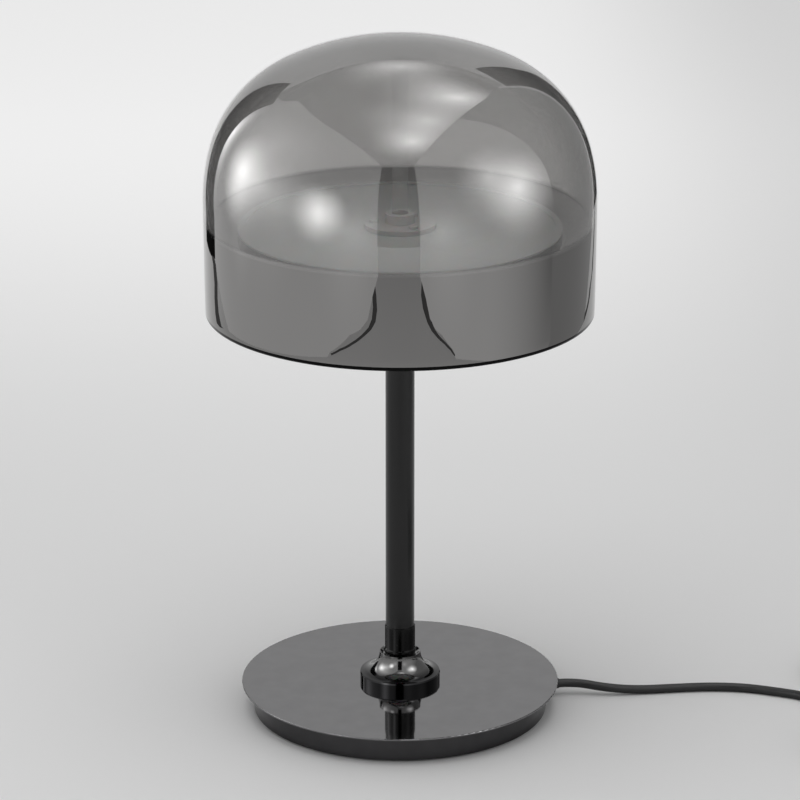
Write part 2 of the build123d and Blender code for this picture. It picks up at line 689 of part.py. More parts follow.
# ================================================================ hub under and over the disc
spigot_top = upper_diffuser_top
hub = disc(hub_flange_radius, flange_low, lower_diffuser_under) + disc(hub_boss_radius, boss_low, flange_low)
hub += disc(hub_spigot_radius, lower_diffuser_under, spigot_top)
hub -= disc(hub_bore, boss_low, flange_low + hub_flange_thickness / 2)
hub -= disc(stem_radius + slip, boss_low, stem_top_height)
hub -= disc(nipple_bore_radius, boss_low, ribbon_top + gap)
hub -= slab((-ribbon_width / 2 - gap, hub_spigot_radius + ribbon_slot_overrun),
            (-ribbon_width / 2 - gap, ribbon_width / 2 + gap), (guide_under, ribbon_top + gap))
for place in hub_screw_places:
    hub -= place * disc(hub_screw_radius + slip, lower_diffuser_under - hub_screw_bite, lower_diffuser_under)
write("hub_flange", hub)
hub_nipple_top = flange_low + hub_flange_thickness / 2
write("hub_nipple", ring(nipple_radius, nipple_bore_radius, hub_nipple_top - hub_nipple_length,
                         hub_nipple_top))

cap_top = upper_diffuser_top + hub_cap_thickness
socket_top = cap_top + hub_socket_height
post_low = socket_top - post_seat_depth
hub_cap = disc(hub_flange_radius, upper_diffuser_top, cap_top) + disc(hub_socket_radius, cap_top, socket_top)
hub_cap -= disc(post_radius + slip, post_low, socket_top)
for place in hub_screw_places:
    hub_cap -= place * disc(hub_screw_radius + slip, upper_diffuser_top, cap_top)
write("hub_cap", hub_cap)
hub_screw = disc(hub_screw_radius, lower_diffuser_under - hub_screw_bite, cap_top)
hub_screw += disc(hub_screw_head_radius, cap_top, cap_top + hub_screw_head_height)
write("hub_screws", Compound([place * hub_screw for place in hub_screw_places]))

# The low-voltage lead runs from the driver up the stem to the ribbon.
low_lead_points = [
    (driver_x[0], driver_centre[1], low_lead_entry_height),
    (driver_x[0] - 9, driver_centre[1], low_lead_entry_height), (driver_x[0] - 13, 38, low_lead_height),
    (driver_x[0] - 11, 16, low_lead_height), (-40, 4.5, low_lead_height), (-14, 0, low_lead_height),
    (0, 0, low_lead_height), (0, 0, guide_under)]
low_corners = [Vector(*point) for point in low_lead_points]
low_radii = laid_route(low_lead_points)[1]
low_radii[-1] = low_lead_bend
low_path = FilletPolyline(*low_corners, radius=low_radii)
lead_along("low_voltage_lead", low_path, low_lead_radius, low_radii)

# ================================================================ glass shade and the crown support
shade_rim_height = disc_bottom_height - shade_rim_drop
shade_widest_height = shade_rim_height + shade_widest_rise
wall_top = Vector(shade_widest_radius, 0, shade_widest_height)
first_centre = wall_top - Vector(upper_wall_radius, 0, 0)


def rim_direction(angle):
    return Vector(cos(radians(angle)), 0, sin(radians(angle)))


shoulder_start = first_centre + rim_direction(upper_wall_sweep) * upper_wall_radius
second_centre = shoulder_start - rim_direction(upper_wall_sweep) * shoulder_radius
crown_angle = upper_wall_sweep + shoulder_sweep
crown_start = second_centre + rim_direction(crown_angle) * shoulder_radius
crown_radius = crown_start.X / cos(radians(crown_angle))
crown_centre = crown_start - rim_direction(crown_angle) * crown_radius
shade_top = crown_centre.Z + crown_radius
rim_bead = glass_wall / 2


def shade_line(inset):
    """The shade's outline from rim to crown, moved inwards by the inset."""
    rim_end = Vector(shade_rim_radius - inset, 0, shade_rim_height + rim_bead)
    wall_end = wall_top - Vector(inset, 0, 0)
    edges = [TangentArc(wall_end, rim_end, tangent=Vector(0, 0, -1))]
    for centre, arc_radius, low, high in (
            (first_centre, upper_wall_radius, 0, upper_wall_sweep),
            (second_centre, shoulder_radius, upper_wall_sweep, crown_angle),
            (crown_centre, crown_radius, crown_angle, 90)):
        points = [centre + rim_direction(a) * (arc_radius - inset) for a in (low, (low + high) / 2, high)]
        edges.append(ThreePointArc(*points))
    return edges, rim_end


outer_edges, outer_rim = shade_line(0)
inner_edges, inner_rim = shade_line(glass_wall)
rim_arc = ThreePointArc(outer_rim, Vector(shade_rim_radius - rim_bead, 0, shade_rim_height), inner_rim)
crown_line = Line((0, 0, shade_top - glass_wall), (0, 0, shade_top))
shade = revolve(make_face(outer_edges + inner_edges + [rim_arc, crown_line]), Axis.Z)
write("glass_shade", shade)
print(f"shade top {shade_top:.2f} mm, crown radius {crown_radius:.1f} mm")

# The pad on the post's cup carries the shade's crown.
pad_dome_radius = crown_radius - glass_wall - gap
pad_edge_top = crown_centre.Z + sqrt(pad_dome_radius ** 2 - pad_radius ** 2)
pad_under = pad_edge_top - pad_edge_thickness
pad_crown = Vector(0, 0, crown_centre.Z + pad_dome_radius)
pad_edge = Vector(pad_radius, 0, pad_edge_top)
pad_middle_angle = (90 + degrees(acos(pad_radius / pad_dome_radius))) / 2
pad_middle = crown_centre + rim_direction(pad_middle_angle) * pad_dome_radius
pad_outline = [ThreePointArc(pad_edge, pad_middle, pad_crown),
               Line(pad_crown, (0, 0, pad_under)), Line((0, 0, pad_under), (pad_radius, 0, pad_under)),
               Line((pad_radius, 0, pad_under), pad_edge)]
write("crown_pad", revolve(make_face(pad_outline), Axis.Z))
cup_low = pad_under - cup_thickness
cup_socket_low = cup_low - cup_socket_height
cup = disc(cup_radius, cup_low, pad_under) + disc(cup_socket_radius, cup_socket_low, cup_low)
cup -= disc(post_radius + slip, cup_socket_low, cup_socket_low + cup_socket_depth)
write("crown_cup", cup)
write("crown_post", disc(post_radius, post_low, cup_socket_low + cup_socket_depth))

# ================================================================ in-line switch
switch_x, switch_y = switch_centre


def switch_block(low, high, inset=0.0):
    """The switch's rounded plan between two heights, moved in by the inset."""
    plan = RectangleRounded(switch_width - 2 * inset, switch_length - 2 * inset,
                            switch_corner_radius - inset)
    return extrude(Pos(switch_x, switch_y, low) * plan, high - low)


def nose(side):
    """A tapered nose where the lead enters, on one end of the switch."""
    end = switch_y + side * switch_length / 2
    tip = Cone(switch_nose_radius, switch_nose_tip_radius, switch_nose_length + switch_wall)
    turn = Rot(-90 * side, 0, 0)
    middle = end + side * (switch_nose_length - switch_wall) / 2
    return Pos(switch_x, middle, switch_parting_height) * turn * tip


outer_shell = fillet(switch_block(0, switch_height).edges().group_by(Axis.Z)[-1], switch_edge_round)
outer_shell = fillet(outer_shell.edges().group_by(Axis.Z)[0], switch_floor_round)
hollow = switch_block(switch_wall, switch_height - switch_wall, switch_wall)
shell = (outer_shell - hollow) + nose(1) + nose(-1)
reach_x = (switch_x - switch_width, switch_x + switch_width)
reach_y = (switch_y - switch_length, switch_y + switch_length)
lower_shell = shell & slab(reach_x, reach_y, (0, switch_parting_height))
upper_shell = shell & slab(reach_x, reach_y, (switch_parting_height, switch_height))

post_places = [Pos(switch_x, switch_y + side * switch_screw_offset, 0) for side in (-1, 1)]
screw_end = switch_height - switch_wall - switch_screw_roof
head_top = switch_screw_recess + switch_screw_head_height
shell_screw = disc(switch_screw_radius, switch_screw_recess, screw_end)
shell_screw += disc(switch_screw_head_radius, switch_screw_recess, head_top)
for place in post_places:
    lower_shell += place * disc(switch_post_radius, switch_wall, switch_parting_height)
    upper_shell += place * disc(switch_post_radius, switch_parting_height, switch_height - switch_wall)
for place in post_places:
    lower_shell -= place * disc(switch_screw_radius + slip, 0, switch_parting_height)
    lower_shell -= place * disc(switch_screw_head_radius + slip, 0, head_top)
    upper_shell -= place * disc(switch_screw_radius + slip, switch_parting_height, screw_end)

# The rocker: a block with two slopes on top, on a cross pin between two ears of the upper shell.
pivot_height = switch_height - switch_wall - rocker_pin_radius - rocker_pin_cover
ridge = switch_height + rocker_proud - pivot_height
half_length = rocker_length / 2
shoulder_drop = half_length * tan(radians(rocker_slope))
profile = [(-half_length, ridge - shoulder_drop), (0, ridge), (half_length, ridge - shoulder_drop),
           (half_length - rocker_taper, -rocker_depth / 2), (rocker_taper - half_length, -rocker_depth / 2)]
rocker_face = make_face(Polyline(*[(-rocker_width / 2, y, z) for y, z in profile], close=True))
rocker_body = extrude(rocker_face, rocker_width, dir=(1, 0, 0))
ridge_edge = rocker_body.edges().group_by(Axis.Z)[-1]
pin_end = rocker_width / 2 + rocker_pin_overhang
rocker_level = fillet(ridge_edge, rocker_ridge_round) + rod(rocker_pin_radius, -pin_end, pin_end)
pivot = Pos(switch_x, switch_y, pivot_height)
write("switch_rocker", pivot * Rot(rocker_slope, 0, 0) * rocker_level)

swing = hypot(half_length, ridge) + gap
window_side = rocker_width / 2 + gap
window_reach = half_length + 2 * gap
window = rod(swing, -window_side, window_side)
window &= slab((-switch_width, switch_width), (-window_reach, window_reach), (-swing, swing))
ear_outer = pin_end + gap + ear_thickness
ears = slab((switch_x - ear_outer, switch_x + ear_outer),
            (switch_y - ear_length / 2, switch_y + ear_length / 2),
            (pivot_height - rocker_pin_radius - ear_thickness, switch_height - switch_wall))
ear_bore = rod(rocker_pin_radius + slip, -pin_end - gap, pin_end + gap)
upper_shell = upper_shell + ears - pivot * window - pivot * ear_bore
write("switch_lower_shell", lower_shell)
write("switch_upper_shell", upper_shell)
write("switch_screws", Compound([place * shell_screw for place in post_places]))
contacts = [slab((switch_x + side * contact_offset - contact_width / 2,
                  switch_x + side * contact_offset + contact_width / 2),
                 (switch_y - contact_length / 2, switch_y + contact_length / 2),
                 (switch_wall, switch_wall + contact_thickness)) for side in (-1, 1)]
write("switch_contacts", Compound(contacts))
print(f"rocker pivot at ({switch_x}, {switch_y}, {pivot_height:.2f})")

# ================================================================ plug with two round pins, pointing to -Y
plug_x, plug_y = plug_axis
body_rear = plug_y - plug_relief_length
body_face = body_rear - plug_body_length


def plug_section(y, width, thickness):
    plan = Plane(origin=(plug_x, y, plug_height), x_dir=(1, 0, 0), z_dir=(0, -1, 0))
    return plan * RectangleRounded(width, thickness, plug_corner_round)


plug_body = loft([plug_section(body_rear, plug_rear_width, plug_rear_thickness),
                  plug_section(body_rear - plug_waist_distance, plug_waist_width, plug_face_thickness),
                  plug_section(body_face, plug_face_width, plug_face_thickness)], ruled=True)
pins = []
sleeves = []
pin_holes = []
for side in (-1, 1):
    spot = Pos(plug_x + side * pin_spacing / 2, body_face, plug_height) * Rot(90, 0, 0)
    root = Pos(0, 0, -pin_rooted_length / 2) * Cylinder(pin_core_radius, pin_rooted_length)
    sleeve_end = pin_length - pin_bare_length
    neck = Pos(0, 0, sleeve_end / 2) * Cylinder(pin_core_radius, sleeve_end)
    tip = Pos(0, 0, sleeve_end + pin_bare_length / 2) * Cylinder(pin_radius, pin_bare_length)
    tip = fillet(tip.edges().filter_by(GeomType.CIRCLE).group_by(Axis.Z)[-1], pin_tip_round)
    pins.append(spot * (root + neck + tip))
    wrap = Pos(0, 0, sleeve_end / 2) * (Cylinder(pin_radius, sleeve_end)
                                        - Cylinder(pin_core_radius + slip, sleeve_end))
    sleeves.append(spot * wrap)
    pin_holes.append(spot * Pos(0, 0, -pin_rooted_length / 2)
                     * Cylinder(pin_core_radius + slip, pin_rooted_length))
for hole in pin_holes:
    plug_body -= hole
write("plug_body", plug_body)
write("plug_pins", Compound(pins))
write("plug_pin_sleeves", Compound(sleeves))

# The plug's relief swells towards the plug, with a groove behind each ring.
ring_pitch = plug_relief_length / (plug_relief_rings + 1)
thin_end = lead_radius + plug_relief_wall
relief_line = [(0, 0), (thin_end, 0)]
for k in range(1, plug_relief_rings + 1):
    swell = thin_end + (plug_relief_radius - thin_end) * k / (plug_relief_rings + 1)
    groove = swell - plug_relief_groove
    relief_line += [(swell, (k - ring_slope_start) * ring_pitch),
                    (swell + plug_relief_ring_rise, k * ring_pitch),
                    (groove, (k + groove_start) * ring_pitch), (groove, (k + groove_end) * ring_pitch)]
relief_line += [(plug_relief_radius, (plug_relief_rings + last_ring_end) * ring_pitch),
                (plug_relief_radius, plug_relief_length), (0, plug_relief_length)]
plug_relief = Pos(plug_x, plug_y, plug_height) * Rot(90, 0, 0) * turned(relief_line)
write("plug_relief", plug_relief)

total_lead = run_path.length + link_path.length + coil_path.length + tail_path.length
print(f"mains lead outside the base: {total_lead:.0f} mm, and the switch {switch_start - switch_end:.0f} mm")
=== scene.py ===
# %% [markdown]
# # A mushroom table lamp, dressed for the camera
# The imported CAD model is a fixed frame: every piece is already the right size and in the right place. This
# lesson gives the lamp its finishes, lays its mains lead as one smooth line, turns its glass shade as one
# polished surface, and lights it in a small white studio. Lengths are in metres, and the lamp's stem is the
# Z axis.

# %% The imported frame
from math import asin, cos, pi, radians, sin

import bmesh
import bpy
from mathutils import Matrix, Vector


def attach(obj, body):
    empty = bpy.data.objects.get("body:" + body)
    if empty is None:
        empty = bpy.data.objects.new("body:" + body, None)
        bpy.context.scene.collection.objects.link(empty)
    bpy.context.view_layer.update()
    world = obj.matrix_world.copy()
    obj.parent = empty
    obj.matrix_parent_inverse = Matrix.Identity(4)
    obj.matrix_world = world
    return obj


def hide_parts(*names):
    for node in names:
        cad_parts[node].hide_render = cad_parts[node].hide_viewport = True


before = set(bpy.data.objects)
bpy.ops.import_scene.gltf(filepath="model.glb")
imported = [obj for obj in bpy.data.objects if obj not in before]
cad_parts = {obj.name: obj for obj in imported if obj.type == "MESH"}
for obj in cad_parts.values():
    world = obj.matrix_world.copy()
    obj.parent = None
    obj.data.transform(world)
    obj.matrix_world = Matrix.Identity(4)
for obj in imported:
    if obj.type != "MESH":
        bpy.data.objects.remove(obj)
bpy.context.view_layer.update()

# %% [markdown]
# ## The camera
# A product photograph is taken from far away with a long lens, so that upright lines stay upright. The
# camera stands 2.6 m in front of the lamp and 1.1 m up, and looks down by 18.65 degrees. The lens is long
# because the picture is square and the lamp fills half of it. Nothing is shifted, so any other view keeps
# the same lens.

# %% The camera
camera_place = (0.0, -2.6332, 1.0916)
camera_tilt = 0.3255
camera_lens = 202.55
camera_sensor = 36.0
camera_reach = 20.0

camera_data = bpy.data.cameras.new("studio_camera")
camera_data.sensor_width = camera_sensor
camera_data.lens = camera_lens
camera_data.clip_end = camera_reach
camera = bpy.data.objects.new("studio_camera", camera_data)
camera.location = camera_place
camera.rotation_euler = (pi / 2 - camera_tilt, 0, 0)
bpy.context.scene.collection.objects.link(camera)
bpy.context.scene.camera = camera
bpy.context.scene.view_settings.view_transform = "Standard"
print(f"camera at {camera_place}, lens {camera_lens} mm")

# %% [markdown]
# ## Finishes
# Every finish is a small node tree round one Principled shader. The first helper starts a material. The
# others read a noise in Object coordinates, spread it over a range, and turn it into bump. An even value is
# set on the shader's own socket, and only what really varies over the surface is linked to a node.

# %% Helpers for finishes
finishes = {}

# A noise from 0 to 1 hardly leaves the range between these two.
noise_low = 0.3
noise_high = 0.7

# Where a mix node keeps its two colours, and where its result is.
mix_from = 6
mix_to = 7
mix_result = 2


def new_finish(name, colour, roughness, metallic=0.0, **sockets):
    """A material with one Principled shader. Further sockets are given by their names with underscores."""
    material = bpy.data.materials.new(name)
    material.use_nodes = True
    shader = material.node_tree.nodes["Principled BSDF"]
    shader.inputs["Base Color"].default_value = (*colour, 1.0)
    shader.inputs["Roughness"].default_value = roughness
    shader.inputs["Metallic"].default_value = metallic
    for socket, value in sockets.items():
        shader.inputs[socket.replace("_", " ")].default_value = value
    finishes[name] = material
    return material


def node(material, kind, **settings):
    """A new node in a material, with its settings and, under a socket's name, its inputs."""
    made = material.node_tree.nodes.new(kind)
    for key, value in settings.items():
        if hasattr(made, key):
            setattr(made, key, value)
        else:
            made.inputs[key].default_value = value
    return made


def link(material, source, output, target, socket):
    material.node_tree.links.new(source.outputs[output], target.inputs[socket])


def surface_noise(material, scale, detail=4.0, stretch=(1, 1, 1)):
    """Noise that is fixed to the piece: it reads Object coordinates."""
    place = node(material, "ShaderNodeTexCoord")
    mapping = node(material, "ShaderNodeMapping", Scale=stretch)
    noise = node(material, "ShaderNodeTexNoise", Scale=scale, Detail=detail)
    link(material, place, "Object", mapping, "Vector")
    link(material, mapping, "Vector", noise, "Vector")
    return noise


def ramp_over(material, source, output, start, end, low=0.0, high=1.0, curve="SMOOTHSTEP"):
    """A value that climbs from low to high while its source goes from start to end."""
    rise = node(material, "ShaderNodeMapRange", interpolation_type=curve)
    for socket, value in (("From Min", start), ("From Max", end), ("To Min", low), ("To Max", high)):
        rise.inputs[socket].default_value = value
    link(material, source, output, rise, "Value")
    return rise


def spread(material, source, output, low, high, socket):
    """A noise becomes a value from low to high on one of the shader's sockets."""
    reach = ramp_over(material, source, output, noise_low, noise_high, low, high, curve="LINEAR")
    link(material, reach, "Result", material.node_tree.nodes["Principled BSDF"], socket)
    return reach


def tint(material, source, output, dark, light, socket="Base Color"):
    """A source from 0 to 1 becomes a colour between two."""
    ramp = node(material, "ShaderNodeValToRGB")
    for element, position, colour in zip(ramp.color_ramp.elements, (noise_low, noise_high), (dark, light)):
        element.position = position
        element.color = (*colour, 1.0)
    link(material, source, output, ramp, "Fac")
    link(material, ramp, "Color", material.node_tree.nodes["Principled BSDF"], socket)
    return ramp


def bumpy(material, source, output, strength, distance):
    bump = node(material, "ShaderNodeBump", Strength=strength, Distance=distance)
    link(material, source, output, bump, "Height")
    link(material, bump, "Normal", material.node_tree.nodes["Principled BSDF"], "Normal")
    return bump


def speckled(name, colour, roughness, scale, relief=0.0, depth=0.0, vary=0.15, metallic=0.0, **sockets):
    """A finish whose colour and gloss vary a little with one noise, and which may have a fine relief."""
    material = new_finish(name, colour, roughness, metallic, **sockets)
    noise = surface_noise(material, scale)
    tint(material, noise, "Fac", [c * (1 - vary) for c in colour], [min(c * (1 + vary), 1.0) for c in colour])
    spread(material, noise, "Fac", roughness * (1 - vary), roughness * (1 + vary), "Roughness")
    if relief:
        bumpy(material, noise, "Fac", relief, depth)
    return material


# %% Helpers for finishes that follow a place
def object_axes(material):
    """Where a point is on its piece: the place itself, and its X, Y and Z one by one."""
    place = node(material, "ShaderNodeTexCoord")
    axes = node(material, "ShaderNodeSeparateXYZ")
    link(material, place, "Object", axes, "Vector")
    return place, axes


def above(material, source, output, limit):
    """1 where the source is above the limit, and 0 elsewhere."""
    step = node(material, "ShaderNodeMath", operation="GREATER_THAN")
    step.inputs[1].default_value = limit
    link(material, source, output, step, 0)
    return step


def colour_mix(material, factor, output, low, high):
    """A colour that goes from low to high. Each of the two is a plain colour, or another mix."""
    mix = node(material, "ShaderNodeMix", data_type="RGBA")
    link(material, factor, output, mix, 0)
    for socket, colour in ((mix_from, low), (mix_to, high)):
        if isinstance(colour, bpy.types.Node):
            link(material, colour, mix_result, mix, socket)
        else:
            mix.inputs[socket].default_value = (*colour, 1.0)
    return mix


# %% [markdown]
# ## Metals, plastics and rubber
# The base plate and the disc's rim are black nickel: a dark mirror. Its gloss hardly varies, so only a
# faint noise moves its roughness. The drum under the plate has a duller nickel, painted darker for the
# shade it stands in under the plate. The collar's upright rim is painted darker than its flare, as painted
# shade, so its colour climbs with the height. The stem and the sleeve at its foot are glossy black.
# Mouldings have a fine spark-eroded grain, rubber is dull, and cast iron and the circuit board are
# inside the base, where only a section or an exploded view shows them.


# %% Metals
# The collar is one polished nickel. Its upright rim band gets a darker colour as painted shade, and the
# colour climbs to the flare's.
collar_band_top = 0.0224
collar_flare_start = 0.0290
collar_painted_shade_colour = (0.030, 0.030, 0.031)
collar_flare_colour = (0.17, 0.169, 0.168)
collar_roughness = 0.10
speckled("black_nickel", (0.205, 0.203, 0.207), 0.06, 90.0, metallic=1.0, vary=0.05)
# The drum's nickel is painted darker, as painted shade for the shade under the plate, and is duller.
drum_painted_shade_nickel = speckled("drum_painted_shade_nickel", (0.062, 0.061, 0.063), 0.12, 90.0, metallic=1.0, vary=0.08)
collar_nickel = new_finish("collar_nickel", collar_flare_colour, collar_roughness, metallic=1.0)
collar_axes = object_axes(collar_nickel)[1]
collar_shade_rise = ramp_over(collar_nickel, collar_axes, "Z", collar_band_top, collar_flare_start, curve="LINEAR")
tint(collar_nickel, collar_shade_rise, "Result", collar_painted_shade_colour, collar_flare_colour)
speckled("stem_black", (0.006, 0.006, 0.0062), 0.22, 240.0, vary=0.05, Specular_IOR_Level=0.38)
speckled("sleeve_black", (0.002, 0.002, 0.002), 0.14, 240.0, vary=0.05, Specular_IOR_Level=0.25)
speckled("cast_iron", (0.06, 0.058, 0.056), 0.62, 420.0, 0.4, 0.0006, metallic=0.6, vary=0.35)
speckled("zinc_steel", (0.55, 0.55, 0.56), 0.30, 160.0, 0.06, 0.0002, metallic=1.0)
speckled("brass", (0.72, 0.52, 0.24), 0.26, 180.0, 0.05, 0.0002, metallic=1.0)
speckled("bright_nickel", (0.72, 0.71, 0.69), 0.16, 200.0, metallic=1.0, vary=0.12)
print(f"{len(finishes)} metal and lacquer finishes")

# %% Plastics, rubber and boards
speckled("black_moulding", (0.018, 0.018, 0.019), 0.38, 900.0, 0.12, 0.0002, vary=0.2)
white_moulding = speckled("white_moulding", (0.78, 0.78, 0.76), 0.40, 900.0, 0.10, 0.0002, vary=0.04)
speckled("driver_white", (0.74, 0.74, 0.73), 0.45, 700.0, 0.10, 0.0002, vary=0.05)
speckled("black_rubber", (0.016, 0.016, 0.016), 0.62, 500.0, 0.25, 0.0003, vary=0.3)
speckled("foam_tape", (0.10, 0.10, 0.10), 0.90, 1500.0, 0.6, 0.0005, vary=0.4)
speckled("circuit_board", (0.020, 0.115, 0.055), 0.35, 340.0, 0.08, 0.0002, vary=0.3)
speckled("chip_yellow", (0.82, 0.66, 0.16), 0.30, 800.0, 0.05, 0.0001, vary=0.06)
speckled("clear_silicone", (0.85, 0.85, 0.85), 0.12, 300.0, vary=0.02, Alpha=0.10)
print(f"{len(finishes)} finishes so far")

# %% [markdown]
# ## The mains lead's finish
# The lead is round black PVC with a satin skin. A fine noise moves its gloss a little and gives it a very
# fine grain.

# %% The lead's finish
black_lead = speckled("black_lead", (0.006, 0.006, 0.0062), 0.40, 700.0, 0.10, 0.0002, vary=0.2)

# %% [markdown]
# ## The lit disc's finishes
# A ring of chips inside the rim lights a clear guide, and an opal sheet on each side spreads the light.
# Here the lamp is switched off, so the opal sheet is only a milky, glossy plastic. The clear post, cup and
# pad that carry the glass have to be nearly invisible. They are clear by their alpha and not by refraction:
# seen through the glass, a ray would meet so many refracting faces that it would end inside and turn black.

# %% Acrylics
opal_acrylic = speckled("opal_acrylic", (0.84, 0.84, 0.83), 0.16, 60.0, vary=0.03, Subsurface_Weight=0.25,
                        Subsurface_Scale=0.004)
speckled("clear_acrylic", (0.85, 0.86, 0.86), 0.05, 60.0, vary=0.01, Alpha=0.10)

# %% [markdown]
# ## Smoked glass with a mirrored hem
# The shade is blown glass with a thin metal coat on its outside. Near the mouth the coat is dense, so the
# outside is a dark mirror there, and the inside is a pale, opaque lining. The coat thins out just above the
# disc, and higher up the shade is see-through smoked glass that still mirrors the room, most where the eye
# meets it at a slant. The lowest few millimetres of the rim are coloured near black: a painted dark line
# for the polished edge, which looks dark. One shader does it all: its metallic share, its colour and its
# clearness follow the height above the floor and the distance from the stem. Both come from Object
# coordinates, which are the frame's own, because the shade's object sits at the origin.

# %% The shade's colours and heights
mirror_top = 0.3180
clear_from = 0.3222
# Below this height the rim is coloured near black: a painted dark line for its polished edge.
rim_dark_line_top = 0.2632
lining_radius = 0.1182
film_start = 0.35
film_full = 0.90
rim_dark_line_colour = (0.008, 0.008, 0.008)
hem_colour = (0.246, 0.242, 0.239)
lining_colour = (0.46, 0.457, 0.452)
smoke_colour = (0.58, 0.573, 0.566)
edge_colour = (0.30, 0.296, 0.292)
smoke_metal = 0.14
edge_metal = 0.45

# %% Where on the shade a point is
smoked_glass = new_finish("smoked_glass", smoke_colour, 0.0, smoke_metal, Transmission_Weight=1.0, IOR=1.5)
glass_place, glass_axes = object_axes(smoked_glass)
glass_rise = ramp_over(smoked_glass, glass_axes, "Z", mirror_top, clear_from)
glass_slant = node(smoked_glass, "ShaderNodeLayerWeight", Blend=0.5)
glass_film = ramp_over(smoked_glass, glass_slant, "Facing", film_start, film_full)
# Without its height, a place is as long as its distance from the stem.
glass_flat = node(smoked_glass, "ShaderNodeVectorMath", operation="MULTIPLY")
glass_flat.inputs[1].default_value = (1.0, 1.0, 0.0)
link(smoked_glass, glass_place, "Object", glass_flat, 0)
glass_radius = node(smoked_glass, "ShaderNodeVectorMath", operation="LENGTH")
link(smoked_glass, glass_flat, 0, glass_radius, 0)
glass_outside = above(smoked_glass, glass_radius, "Value", lining_radius)
glass_over_dark_line = above(smoked_glass, glass_axes, "Z", rim_dark_line_top)

# %% The shade's finish
glass_thin = ramp_over(smoked_glass, glass_film, "Result", 0.0, 1.0, smoke_metal, edge_metal, curve="LINEAR")
glass_metal = node(smoked_glass, "ShaderNodeMapRange")
link(smoked_glass, glass_outside, 0, glass_metal, "To Min")
link(smoked_glass, glass_thin, "Result", glass_metal, "To Max")
link(smoked_glass, glass_rise, "Result", glass_metal, "Value")
glass_clear = node(smoked_glass, "ShaderNodeMath", operation="MAXIMUM")
link(smoked_glass, glass_outside, 0, glass_clear, 0)
link(smoked_glass, glass_rise, "Result", glass_clear, 1)
glass_edge = colour_mix(smoked_glass, glass_film, "Result", smoke_colour, edge_colour)
glass_hem = colour_mix(smoked_glass, glass_outside, 0, lining_colour, hem_colour)
glass_tint = colour_mix(smoked_glass, glass_rise, "Result", glass_hem, glass_edge)
# The lowest millimetres of the rim get near black, a painted dark line for the polished edge.
glass_dark_line = colour_mix(smoked_glass, glass_over_dark_line, 0, rim_dark_line_colour, glass_tint)
glass_shader = smoked_glass.node_tree.nodes["Principled BSDF"]
link(smoked_glass, glass_metal, "Result", glass_shader, "Metallic")
link(smoked_glass, glass_clear, 0, glass_shader, "Transmission Weight")
link(smoked_glass, glass_dark_line, mix_result, glass_shader, "Base Color")
print(f"{len(finishes)} finishes")

# %% [markdown]
# ## Giving the CAD pieces their finishes
# A CAD piece keeps its shape and gets its finish through its material slot. The imported slots carry the
# names from the record, so one loop over the pieces swaps each packed material for the finish of the same
# name. Six pieces get another one: the drum and the collar get nickel with painted shade, and what stands
# in the middle and at the edge of the lit disc is as pale as the disc.

# %% Finishes on the CAD pieces
special_finishes = {"base_drum": drum_painted_shade_nickel, "stem_collar": collar_nickel, "disc_bezel": opal_acrylic,
                    "hub_cap": opal_acrylic, "hub_screws": opal_acrylic, "hub_flange": white_moulding}
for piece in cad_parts.values():
    for slot in piece.material_slots:
        slot_name = slot.material.name.split(".")[0]
        finish = special_finishes.get(piece.name, finishes.get(slot_name))
        if finish is None:
            print(f"no finish for slot {slot_name} on {piece.name}")
        else:
            slot.material = finish
print(f"finishes set, {len(special_finishes)} of them special")

# %% [markdown]
# ## Turned pieces
# The shade is turned, like clay on a wheel. Its outline starts as one vertex, and each arc is made by
# spinning the last vertex about the arc's own centre. The whole outline is then spun once round the stem,
# its seam and poles are closed, and its normals are made to point outwards.

# %% Helpers for turned pieces
weld_distance = 2e-6
least_edge = 1e-7


def start_outline(radius, height):
    shape = bmesh.new()
    return shape, shape.verts.new((radius, 0.0, height))


def arc_on(shape, last, centre, turn, steps):
    """Carries the outline round an arc. A positive turn goes from outwards to upwards."""
    swept = bmesh.ops.spin(shape, geom=[last], cent=(centre[0], 0.0, centre[1]), axis=(0, -1, 0),
                           angle=turn, steps=steps, use_merge=False)
    return [part for part in swept["geom_last"] if isinstance(part, bmesh.types.BMVert)][0]


def turned(shape, around):
    """Spins an outline once round the stem and closes what meets."""
    bmesh.ops.spin(shape, geom=shape.verts[:] + shape.edges[:], cent=(0, 0, 0), axis=(0, 0, 1),
                   angle=2 * pi, steps=around, use_merge=True)
    bmesh.ops.remove_doubles(shape, verts=shape.verts[:], dist=weld_distance)
    bmesh.ops.dissolve_degenerate(shape, edges=shape.edges[:], dist=least_edge)
    bmesh.ops.recalc_face_normals(shape, faces=shape.faces[:])
    return shape


def new_piece(name, shape, finish, body):
    """A mesh object at the origin that rides on a body of the frame."""
    mesh = bpy.data.meshes.new(name)
    shape.to_mesh(mesh)
    shape.free()
    mesh.shade_smooth()
    piece = bpy.data.objects.new(name, mesh)
    bpy.context.scene.collection.objects.link(piece)
    mesh.materials.append(finish)
    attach(piece, body)
    size = [max(v.co[i] for v in mesh.vertices) - min(v.co[i] for v in mesh.vertices) for i in range(3)]
    print(f"{name}: {len(mesh.polygons)} faces, {size[0]:.4f} x {size[1]:.4f} x {size[2]:.4f} m")
    return piece


# %% [markdown]
# ## The glass shade
# The real shade is blown into a mould and cut at the mouth, where the edge is melted to a round bead. The
# outline starts under the crown, runs down the inside in four arcs that flow into each other, round the
# bead, and up the outside in the same four arcs, one wall thickness further out.


# %% The shade's outline
wall = 0.0035
widest_radius = 0.120
widest_height = 0.333
rim_radius = 0.1194
rim_height = 0.2605
upper_arc = 0.1165
upper_turn = radians(15.5)
shoulder_arc = 0.0802
shoulder_turn = radians(49.9)

